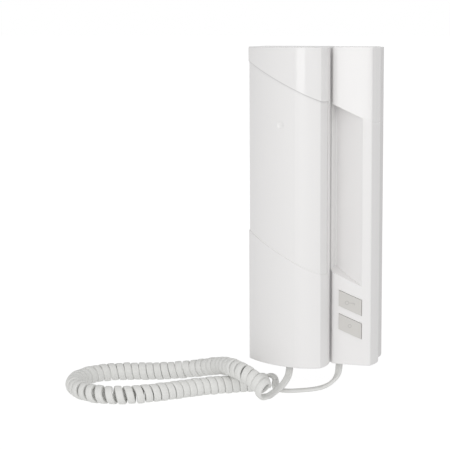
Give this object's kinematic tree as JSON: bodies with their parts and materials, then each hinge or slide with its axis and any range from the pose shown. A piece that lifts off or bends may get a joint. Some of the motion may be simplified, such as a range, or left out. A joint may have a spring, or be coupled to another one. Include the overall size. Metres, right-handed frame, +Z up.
{
  "type": "wall phone",
  "caption": "Slim wall-mounted door-entry phone: base with two keys and a finger recess, full-height curved handset, curly cord with two plugs.",
  "frame": {"origin": "on the wall, at the middle of the wall plate's back", "axes": "+X to the viewer's right, +Y into the wall, +Z up"},
  "size_m": [0.1991, 0.1222, 0.232],
  "materials": {
    "shell_plastic": "glossy white moulded plastic",
    "plate_plastic": "satin white moulded plastic",
    "key_plastic": "satin warm grey",
    "lever_plastic": "natural acetal",
    "circuit_board": "green solder mask",
    "black_plastic": "black moulded plastic",
    "terminal_plastic": "green terminal block",
    "zinc_steel": "zinc-plated steel",
    "plain_steel": "plain steel",
    "black_rubber": "soft black",
    "plug_plastic": "clear moulded plastic",
    "cord_vinyl": "smooth light grey vinyl"
  },
  "bodies": {
    "base": {"auxiliary_switch": "black_plastic", "base_cord_jack": "black_plastic", "base_cover": "shell_plastic", "base_lead": "cord_vinyl", "base_plug": "plug_plastic", "board_screw_1": "zinc_steel", "board_screw_2": "zinc_steel", "board_screw_3": "zinc_steel", "call_speaker": "plain_steel", "coiled_cord": "cord_vinyl", "cover_screw": "zinc_steel", "door_switch": "black_plastic", "handset_lead": "cord_vinyl", "hook_pin": "zinc_steel", "hook_switch": "black_plastic", "main_circuit_board": "circuit_board", "terminal_block": "terminal_plastic", "terminal_screw_1": "zinc_steel", "terminal_screw_2": "zinc_steel", "terminal_screw_3": "zinc_steel", "terminal_screw_4": "zinc_steel", "wall_plate": "plate_plastic"},
    "handset": {"handset_back_shell": "shell_plastic", "handset_cord_jack": "black_plastic", "handset_front_shell": "shell_plastic", "handset_plug": "plug_plastic", "handset_screw_1": "zinc_steel", "handset_screw_2": "zinc_steel", "handset_weight": "plain_steel", "earpiece_capsule": "black_plastic", "earpiece_seal": "black_rubber", "microphone_capsule": "plain_steel", "microphone_boot": "black_rubber"},
    "door_key": {"door_key": "key_plastic"},
    "auxiliary_key": {"auxiliary_key": "key_plastic"},
    "hook": {"hook_lever": "lever_plastic"}
  },
  "joints": [
    {"name": "handset_lift", "type": "slide", "parent": "base", "child": "handset", "axis": [0, -0.866, 0.5], "range_m": [0, 0.08]},
    {"name": "hook_turn", "type": "hinge", "parent": "base", "child": "hook", "pos_m": [-0.014, -0.014, -0.018], "axis": [-1, 0, 0], "range_deg": [0, 8]},
    {"name": "door_key_press", "type": "slide", "parent": "base", "child": "door_key", "axis": [0, 1, 0], "range_m": [0, 0.0012], "stiffness_N_per_m": 400},
    {"name": "auxiliary_key_press", "type": "slide", "parent": "base", "child": "auxiliary_key", "axis": [0, 1, 0], "range_m": [0, 0.0012], "stiffness_N_per_m": 400}
  ],
  "couplings": [
    {"joint": "hook_turn", "follows": "handset_lift", "rad_per_m": 1.745}
  ]
}
